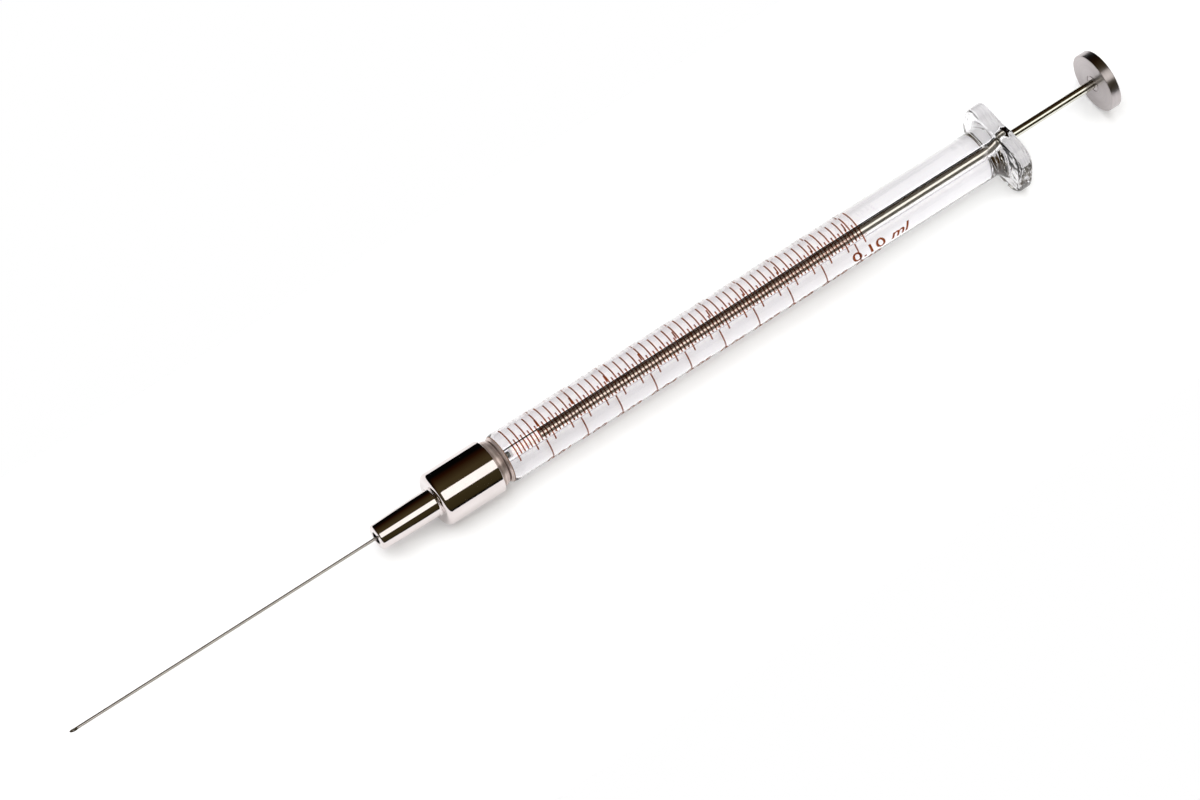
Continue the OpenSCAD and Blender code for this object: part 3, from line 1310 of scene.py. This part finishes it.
@dataclass
class Terminal:
    """The turned terminal that is cemented to the glass, with its threaded stud.

    Fields that end in _r are radii, those in _edge are the roundings of edges, and the stations
    are named after what stands there.
    """

    collar_r: float = 3.55
    collar_edge: float = 0.09
    collar_front: float = -3.35
    collar_back: float = -2.9
    fall_steps: int = 12
    scores: tuple[float, ...] = (-3.17, -2.98)
    score_wide: float = 0.05
    score_deep: float = 0.09
    slot_wide: float = 0.13
    slot_deep: float = 0.3
    shoulder: float = -1.57
    seat_r: float = 2.36
    seat_bottom: float = -3.3
    hole_r: float = 1.1
    inner_edge: float = 0.08
    crest_r: float = 2.95
    root_r: float = 2.56
    stud_front: tuple[float, float, float] = (0.12, 0.1, 0.05)
    relief: float = 0.6
    pitch: float = 0.75
    thread_ends: tuple[float, float] = (0.45, 0.2)
    thread_rooted: float = 0.08
    root_share: float = 0.8
    crest_share: float = 0.14
    wet: float = 0.008
    cement_inset: float = 0.06
    cement_depth: float = 0.02

    def build(self) -> None:
        """Turns the terminal, winds its thread and lays the cement line."""
        front, _ = AXIS.span("terminal")
        lead, taper, edge = self.stud_front
        low = BEAD.low
        slot = BEAD.groove + self.slot_wide
        corners = profile(
            (front, self.root_r - taper, edge),
            (front + lead, self.root_r),
            (self.collar_front, self.root_r, self.inner_edge),
            (self.collar_front, self.collar_r, self.collar_edge),
            *(
                (score + aside, self.collar_r - deep)
                for score in self.scores
                for aside, deep in (
                    (-self.score_wide, 0.0),
                    (0.0, self.score_deep),
                    (self.score_wide, 0.0),
                )
            ),
            *(
                (
                    self.collar_back + (BEAD.groove - self.collar_back) * math.sin(a),
                    low + (self.collar_r - low) * math.cos(a),
                )
                for a in (math.pi / 2 * i / self.fall_steps for i in range(self.fall_steps + 1))
            ),
            (BEAD.groove, low - self.slot_deep),
            (slot, low - self.slot_deep),
            *BEAD.stretch(slot, self.shoulder),
            (self.shoulder, self.seat_r),
            (self.seat_bottom, self.seat_r),
            (self.seat_bottom, self.hole_r),
            (front, self.hole_r, self.inner_edge),
        )
        turn("terminal_turned", "terminal", corners, TERMINAL_STEEL, Body.BARREL)
        self.wind_thread(front)
        self.lay_cement()

    def wind_thread(self, front: float) -> None:
        """Winds the stud's thread, from near the station of the stud's front."""
        start = front + self.thread_ends[0]
        end = self.collar_front - self.relief - self.thread_ends[1]
        depth = self.crest_r - self.root_r + self.thread_rooted
        inputs = {
            "Turns": (end - start) / self.pitch,
            "Pitch Radius": (self.crest_r - depth / 2) * MM,
            "Length": (end - start) * MM,
            "Root Width": self.pitch * self.root_share * MM,
            "Crest Width": self.pitch * self.crest_share * MM,
            "Depth": depth * MM,
            "Place": AXIS.place(start),
            "Material": TERMINAL_STEEL.make(),
        }
        thread = as_object(merged([grown(thread_tree(), inputs)]), "terminal_thread", crease=40)
        dress(thread, TERMINAL_STEEL, Body.BARREL)

    def lay_cement(self) -> None:
        """Lays the cement between glass and metal, wetted on to both."""
        front, _ = AXIS.span("cement_ring")
        inner, outer = self.seat_r - self.cement_inset - self.wet, self.seat_r + self.wet
        metal, glass = self.shoulder - self.wet, Barrel.shoulder + self.wet
        corners = profile(
            (front, inner),
            (front, outer),
            (metal, outer),
            (metal, BEAD.radius(self.shoulder) - self.cement_depth),
            *BEAD.stretch(self.shoulder, glass)[1:],
            (glass, inner),
        )
        turn("cement_line", "cement_ring", corners, BROWN_CEMENT, Body.BARREL)


@dataclass
class HubNut:
    """The polished nut with its long tapered nose.

    Fields that end in _r are radii and those in _edge are the roundings of edges. The nose swells
    from its tip's radius at the front to its root's at taper_end of its length. The points of that
    curve begin at taper_start, behind the rounded edge.
    """

    nose_length: float = 9.7
    nose_tip_r: float = 1.94
    nose_root_r: float = 2.15
    nose_edge: float = 0.5
    root_fillet: float = 0.35
    front_edge: float = 0.9
    back_edge: float = 0.14
    mouth_edge: float = 0.1
    nose_hole_r: float = 0.93
    nose_hole_depth: float = 1.5
    nose_hole_edge: float = 0.07
    nose_floor_edge: float = 0.1
    needle_hole_r: float = 0.307
    needle_hole_edge: float = 0.05
    head_front: float = -10.22
    head_back: float = -9.1
    head_r: float = 1.8
    thread_r: float = 3.0
    taper_steps: int = 14
    taper_start: float = 0.08
    taper_end: float = 0.8
    taper_power: float = 1.5
    facets: int = 224

    def build(self) -> None:
        """Turns and polishes the nut."""
        front, back = AXIS.span("hub_nut")
        nut_r = AXIS.radius("hub_nut")
        nut_front = front + self.nose_length
        hole_floor = front + self.nose_hole_depth
        swell = self.nose_root_r - self.nose_tip_r
        length = self.taper_end - self.taper_start
        steps = self.taper_steps
        corners = profile(
            (front, self.nose_tip_r, self.nose_edge),
            *(
                (
                    front + self.nose_length * t,
                    self.nose_tip_r + swell * (1 - (1 - t / self.taper_end) ** self.taper_power),
                )
                for t in (self.taper_start + length * i / steps for i in range(steps + 1))
            ),
            (nut_front, self.nose_root_r, self.root_fillet),
            (nut_front, nut_r, self.front_edge),
            (back, nut_r, self.back_edge),
            (back, self.thread_r, self.mouth_edge),
            (self.head_back, self.thread_r),
            (self.head_back, self.head_r),
            (self.head_front, self.head_r),
            (self.head_front, self.needle_hole_r),
            (hole_floor, self.needle_hole_r, self.needle_hole_edge),
            (hole_floor, self.nose_hole_r, self.nose_floor_edge),
            (front, self.nose_hole_r, self.nose_hole_edge),
        )
        turn("nut_polished", "hub_nut", corners, POLISHED_NICKEL, Body.NUT, facets=self.facets)


@dataclass
class NeedleSet:
    """The needle tube with its ferrule and seal.

    Fields that end in _r are radii and those in _edge are the roundings of edges. The gap is what
    is left between pieces that touch.
    """

    bevel_angle: float = 22.0
    bevel_turn: float = 45.0
    bevel_lead: float = 0.3
    bore_r: float = 0.0635
    head_r: float = 1.7
    head_chamfer: float = 0.3
    neck_r: float = 1.05
    step: float = -5.2
    nose_r: float = 0.53
    spigot_r: float = 0.715
    edge: float = 0.05
    back_edge: float = 0.1
    seal_edges: tuple[float, float] = (0.04, 0.03)
    seal_gap: float = 0.02
    gap: float = 0.002
    facets: int = 64
    turned_facets: int = 96

    def bevelled_ring(self, point: float, radius: float) -> list[Vector]:
        """Makes the slanting ring where the bevel cuts a round wall.

        Args:
            point: The station of the needle's point.
            radius: The wall's radius.

        Returns:
            The ring.
        """
        needle_r = AXIS.radius("needle")
        slope = 1 / math.tan(math.radians(self.bevel_angle))
        up = math.radians(90 + self.bevel_turn)
        points = []
        for i in range(self.facets):
            angle = 2 * math.pi * i / self.facets
            rise = needle_r + radius * math.cos(angle - up)
            points.append(AXIS.place(point + rise * slope, radius, angle))
        return points

    def build_tube(self) -> None:
        """Draws the needle tube and grinds its point."""
        point, back = AXIS.span("needle")
        needle_r = AXIS.radius("needle")
        whole = point + 2 * needle_r / math.tan(math.radians(self.bevel_angle)) + self.bevel_lead
        rings = [self.bevelled_ring(point, r) for r in (self.bore_r, needle_r)]
        for station, r in (
            (whole, needle_r),
            (back, needle_r),
            (back, self.bore_r),
            (whole, self.bore_r),
        ):
            rings.append(AXIS.ring(station, r, self.facets))
        tube = as_object(swept_rings(rings, closed=True), "needle_tube")
        dress(tube, NEEDLE_STEEL, Body.NEEDLE, "needle")

    def build_ferrule(self) -> None:
        """Turns the ferrule that holds the needle in the nut."""
        front, back = AXIS.span("needle_ferrule")
        hole_r = AXIS.radius("needle") + self.gap
        corners = profile(
            (front, self.head_r - self.head_chamfer, self.edge),
            (front + self.head_chamfer, self.head_r, self.edge),
            (HubNut.head_back, self.head_r, self.back_edge),
            (HubNut.head_back, self.neck_r, self.edge),
            (self.step, self.neck_r, self.edge),
            (self.step, self.nose_r, self.edge),
            (back, self.nose_r, self.back_edge),
            (back, hole_r),
            (front, hole_r),
        )
        self.turn("ferrule_turned", "needle_ferrule", corners, FERRULE_STEEL_PAINTED_DARK)

    def build_seal(self) -> None:
        """Turns the white seal that stands in the bore."""
        front, back = AXIS.span("needle_seal")
        shoulder = AXIS.span("barrel")[0] - self.seal_gap
        hole_r = self.nose_r + self.gap
        corners = profile(
            (front, hole_r),
            (front, self.neck_r, self.edge),
            (shoulder, self.neck_r, self.seal_edges[0]),
            (shoulder, self.spigot_r, self.seal_edges[1]),
            (back, self.spigot_r, self.back_edge),
            (back, hole_r),
        )
        self.turn("seal_moulded", "needle_seal", corners, GLOWING_WHITE_FLUOROPOLYMER)

    def turn(self, name: str, replaces: str, corners: list[Corner], surface: Surface) -> None:
        """Turns one of the needle's small pieces."""
        turn(name, replaces, corners, surface, Body.NEEDLE, facets=self.turned_facets)

    def build(self) -> None:
        """Makes the needle's three pieces."""
        self.build_tube()
        self.build_ferrule()
        self.build_seal()


# ---------------------------------------------------------------- plunger


@dataclass
class Plunger:
    """The steel rod with its white tip and its turned button.

    Fields that end in _r are radii and those in _edge are the roundings of edges. The groove is
    turned into the button's front, and its numbers are radii and a depth.
    """

    rod_r: float = 0.70
    pin_r: float = 0.42
    edge: float = 0.05
    rod_edge: float = 0.1
    rim_edge: float = 0.13
    tip_wall: float = 1.2
    groove_in: float = 1.15
    groove_out: float = 1.35
    groove_depth: float = 0.12
    groove_edge: float = 0.03
    countersink: float = 0.12
    button_facets: int = 224

    def build_rod(self) -> None:
        """Grinds the rod."""
        front, back = AXIS.span("plunger_rod")
        shoulder = AXIS.span("plunger_tip")[1]
        corners = profile(
            (front, 0),
            (front, self.pin_r, self.edge),
            (shoulder, self.pin_r, self.edge),
            (shoulder, self.rod_r, self.edge),
            (back, self.rod_r, self.rod_edge),
            (back, 0),
        )
        turn("rod_ground", "plunger_rod", corners, ROD_STEEL, Body.PLUNGER, closed=False)

    def build_tip(self) -> None:
        """Turns the tip that sweeps the bore."""
        front, back = AXIS.span("plunger_tip")
        tip_r = AXIS.radius("plunger_tip")
        corners = profile(
            (front, 0),
            (front, tip_r, self.rim_edge),
            (back, tip_r, self.edge),
            (back, self.pin_r),
            (self.tip_wall, self.pin_r),
            (self.tip_wall, 0),
        )
        turn("tip_moulded", "plunger_tip", corners, GLOWING_WHITE_FLUOROPOLYMER, Body.PLUNGER, closed=False)

    def build_button(self) -> None:
        """Turns and faces the button."""
        front, back = AXIS.span("plunger_button")
        button_r = AXIS.radius("plunger_button")
        floor = front + self.groove_depth
        corners = profile(
            (front, self.rod_r),
            (front, self.groove_in, self.groove_edge),
            (floor, self.groove_in, self.groove_edge),
            (floor, self.groove_out, self.groove_edge),
            (front, self.groove_out, self.groove_edge),
            (front, button_r, self.rim_edge),
            (back, button_r, self.rim_edge),
            (back, self.rod_r + self.countersink, self.edge),
            (back - self.countersink, self.rod_r),
        )
        facets = self.button_facets
        turn("button_turned", "plunger_button", corners, BUTTON_STEEL, Body.PLUNGER, facets=facets)

    def build(self) -> None:
        """Makes the plunger's three pieces."""
        self.build_rod()
        self.build_tip()
        self.build_button()


# ---------------------------------------------------------------- studio


@dataclass(frozen=True)
class Softbox:
    """A soft rectangular light that faces the syringe.

    Attributes:
        name: Its name.
        towards: The direction to it from the syringe, not yet unit length.
        distance: How far off it is, in metres.
        width: Its size across the syringe, in metres.
        length: Its size along the syringe, in metres.
        radiance: How bright its face is, where 1 is white.
        colour: Its colour.
        shift: How far it is moved along X, in metres.
        mirrored: True where polished things and glass show it.
    """

    name: str
    towards: tuple[float, float, float]
    distance: float
    width: float
    length: float
    radiance: float
    colour: Rgb
    shift: float = 0.0
    mirrored: bool = True

    def hang(self) -> None:
        """Hangs the light."""
        light = bpy.data.lights.new(self.name, "AREA")
        light.shape = "RECTANGLE"
        light.size = self.length
        light.size_y = self.width
        light.energy = self.radiance * math.pi * self.length * self.width
        light.color = self.colour
        lamp = linked(self.name, light)
        way = Vector(self.towards).normalized()
        lamp.location = Vector((self.shift, 0, AXIS.height)) + way * self.distance
        sideways = way.cross(Vector((1, 0, 0))).normalized()
        across = sideways.cross(way)
        lamp.rotation_euler = Matrix((across, sideways, way)).transposed().to_euler()
        lamp.visible_camera = False
        lamp.visible_glossy = self.mirrored
        lamp.visible_transmission = self.mirrored


@dataclass
class Studio:
    """The pale floor, the soft lights, the dark room round them and the camera.

    Attributes:
        frame_width: The picture's width, in pixels.
        focal_pixels: The camera's focal length, in pixels.
        sensor: The camera's sensor width.
        clip: How near and how far the camera sees, in metres.
        camera_from_zero: Where the camera is, from the zero mark on the axis.
        azimuth: How far the camera is turned from +Y towards +X.
        elevation: How far it looks down.
        floor_length: The floor's size along the syringe, in metres.
        floor_sides: Where the floor's two long edges are along Y, in metres.
        floor_glow: How bright the floor is by itself.
        flange_touch: How far in front of the flange's back the floor touches it.
        walls: The room's colours, by the turn from +Y over the syringe to -Y as a share.
    """

    frame_width: int = 1200
    focal_pixels: float = 5390.06
    sensor: float = 36.0
    clip: tuple[float, float] = (0.01, 20.0)
    camera_from_zero: tuple[float, float, float] = (-192.256, -289.104, 667.687)
    azimuth: float = 35.71356
    elevation: float = 61.97008
    floor_length: float = 1.2
    floor_sides: tuple[float, float] = (-0.045, 0.040)
    floor_glow: float = 0.13
    flange_touch: float = 1.3
    walls: tuple[tuple[float, Rgb], ...] = (
        (0.0, (0.0015, 0.0015, 0.0015)),
        (0.12, (0.002, 0.0015, 0.001)),
        (0.23, (0.022, 0.006, 0.0015)),
        (0.44, (0.065, 0.046, 0.018)),
        (0.72, (0.055, 0.042, 0.016)),
        (1.0, (0.04, 0.03, 0.011)),
    )

    def lay_floor(self) -> None:
        """Lays the floor so that the flange's lobes and the nut's front edge both touch it."""
        nut_station = AXIS.span("hub_nut")[0] + HubNut.nose_length + HubNut.front_edge
        nut_touch = AXIS.zero_x + nut_station * MM
        flange_touch = AXIS.zero_x + (AXIS.span("barrel")[1] - self.flange_touch) * MM
        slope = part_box("hub_nut")[0].z / (nut_touch - flange_touch)
        bm = bmesh.new()
        near, far = self.floor_sides
        half = self.floor_length / 2
        edges = ((-half, near), (half, near), (half, far), (-half, far))
        bm.faces.new([bm.verts.new((x, y, (x - flange_touch) * slope)) for x, y in edges])
        paint = Surface(
            name="pale_floor",
            dark=(0.90, 0.90, 0.905),
            light=(0.92, 0.92, 0.925),
            shade=Grain((40, 40, 40)),
            settings={
                "Roughness": 0.8,
                "Emission Strength": self.floor_glow,
                "Emission Color": (0.93, 0.965, 1.0, 1.0),
            },
        )
        floor = as_object(bm, "floor")
        floor.data.materials.append(paint.make())

    def hang_lights(self) -> None:
        """Hangs the soft lights."""
        Softbox(
            name="overhead_softbox",
            towards=(0.0, -0.446, 0.895),
            distance=1.6,
            width=1.04,
            length=3.0,
            radiance=1.5,
            colour=(1.0, 0.985, 0.955),
            shift=0.35,
        ).hang()
        Softbox(
            name="side_softbox",
            towards=(-0.13, 0.30, 0.945),
            distance=1.5,
            width=2.0,
            length=2.2,
            radiance=2.65,
            colour=(0.97, 0.985, 1.0),
            mirrored=False,
        ).hang()

    def paint_walls(self) -> None:
        """Colours the dark room by direction, behind a white that only the camera sees."""
        world = bpy.data.worlds.new("studio")
        bpy.context.scene.world = world
        world.use_nodes = True
        world.node_tree.nodes.clear()
        room = Wiring(world.node_tree)
        way = room.node("ShaderNodeTexCoord").outputs["Generated"]
        split = room.node("ShaderNodeSeparateXYZ", {0: way}).outputs
        turn_from_y = room.sum("ARCTAN2", split["Z"], split["Y"])
        colour = room.ramp(room.sum("DIVIDE", turn_from_y, math.pi), self.walls)
        kind = "ShaderNodeBackground"
        dark = room.node(kind, {"Color": colour, "Strength": 1.0}).outputs[0]
        pale = room.node(kind, {"Color": (1.0, 1.0, 1.0, 1), "Strength": 1.0}).outputs[0]
        seen = room.node("ShaderNodeLightPath").outputs["Is Camera Ray"]
        mix = room.node("ShaderNodeMixShader", {"Fac": seen, 1: dark, 2: pale}).outputs[0]
        room.node("ShaderNodeOutputWorld", {"Surface": mix})

    def set_camera(self) -> None:
        """Sets the camera."""
        lens = bpy.data.cameras.new("camera")
        lens.sensor_fit = "HORIZONTAL"
        lens.sensor_width = self.sensor
        lens.lens = self.focal_pixels / self.frame_width * self.sensor
        lens.clip_start, lens.clip_end = self.clip
        camera = linked("camera", lens)
        x, y, z = self.camera_from_zero
        camera.location = (AXIS.zero_x + x * MM, y * MM, AXIS.height + z * MM)
        tilt, turn_left = math.radians(90 - self.elevation), math.radians(-self.azimuth)
        camera.rotation_euler = (tilt, 0, turn_left)
        bpy.context.scene.camera = camera

    def build(self) -> None:
        """Sets the studio up."""
        self.lay_floor()
        self.hang_lights()
        self.paint_walls()
        self.set_camera()
        bpy.context.scene.view_settings.view_transform = "Standard"


def main() -> None:
    """Builds the syringe's pieces in order and sets the studio round them."""
    logging.basicConfig(level=logging.INFO, format="%(name)s: %(message)s")
    for made in (Studio, Barrel, Scale, Terminal, HubNut, NeedleSet, Plunger):
        made().build()


if __name__ == "__main__":
    main()
